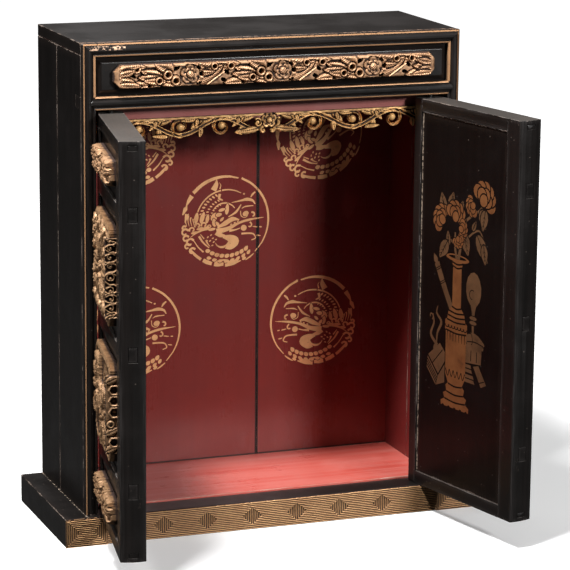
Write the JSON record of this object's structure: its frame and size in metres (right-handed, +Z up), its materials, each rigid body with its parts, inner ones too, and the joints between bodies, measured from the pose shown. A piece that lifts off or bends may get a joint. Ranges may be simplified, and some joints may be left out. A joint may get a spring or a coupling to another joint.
{
  "type": "altar cabinet",
  "caption": "Domestic altar cabinet on a carved plinth, with an open red interior, a pierced pelmet, a carved frieze and pivoted panelled doors that close its front.",
  "frame": {"origin": "middle of the plinth's underside, on the surface that the cabinet stands on", "axes": "+Z up, -Y out of the doors, +X to the right of someone who faces the cabinet"},
  "size_m": [0.477, 0.3472, 0.54],
  "materials": {
    "black_lacquer": "black lacquer on wood, worn, satin to glossy",
    "red_lacquer": "dark red lacquer on wood with gold painting",
    "floor_lacquer": "lighter worn red lacquer on wood",
    "gilding": "worn gilding over red ground on carved wood"
  },
  "bodies": {
    "case": {"plinth": "black_lacquer", "floor_board": "floor_lacquer", "left_side_front_board": "black_lacquer", "left_side_rear_board": "black_lacquer", "left_stile": "black_lacquer", "right_side_front_board": "black_lacquer", "right_side_rear_board": "black_lacquer", "right_stile": "black_lacquer", "top_board": "black_lacquer", "back_board_left": "red_lacquer", "back_board_right": "red_lacquer", "top_rail": "black_lacquer", "middle_rail": "black_lacquer", "frieze_panel": "black_lacquer", "frieze_carving": "gilding", "fascia_board": "red_lacquer", "pelmet": "gilding"},
    "left_door": {"left_door_hinge_stile": "black_lacquer", "left_door_meeting_stile": "black_lacquer", "left_door_top_rail": "black_lacquer", "left_door_upper_cross_rail": "black_lacquer", "left_door_middle_cross_rail": "black_lacquer", "left_door_lower_cross_rail": "black_lacquer", "left_door_bottom_rail": "black_lacquer", "left_door_top_field": "black_lacquer", "left_door_upper_field": "black_lacquer", "left_door_lower_field": "black_lacquer", "left_door_bottom_field": "black_lacquer", "left_door_top_carving": "gilding", "left_door_upper_carving": "gilding", "left_door_lower_carving": "gilding", "left_door_bottom_carving": "gilding", "left_door_inner_board": "black_lacquer"},
    "right_door": {"right_door_hinge_stile": "black_lacquer", "right_door_meeting_stile": "black_lacquer", "right_door_top_rail": "black_lacquer", "right_door_upper_cross_rail": "black_lacquer", "right_door_middle_cross_rail": "black_lacquer", "right_door_lower_cross_rail": "black_lacquer", "right_door_bottom_rail": "black_lacquer", "right_door_top_field": "black_lacquer", "right_door_upper_field": "black_lacquer", "right_door_lower_field": "black_lacquer", "right_door_bottom_field": "black_lacquer", "right_door_top_carving": "gilding", "right_door_upper_carving": "gilding", "right_door_lower_carving": "gilding", "right_door_bottom_carving": "gilding", "right_door_inner_board": "black_lacquer"}
  },
  "joints": [
    {"name": "left_door_pivot", "type": "hinge", "parent": "case", "child": "left_door", "pos_m": [-0.1818, -0.0755, 0.25], "axis": [0, 0, 1], "range_deg": [-7.9, 100.1]},
    {"name": "right_door_pivot", "type": "hinge", "parent": "case", "child": "right_door", "pos_m": [0.1818, -0.0755, 0.25], "axis": [0, 0, -1], "range_deg": [-5.6, 102.4]}
  ]
}
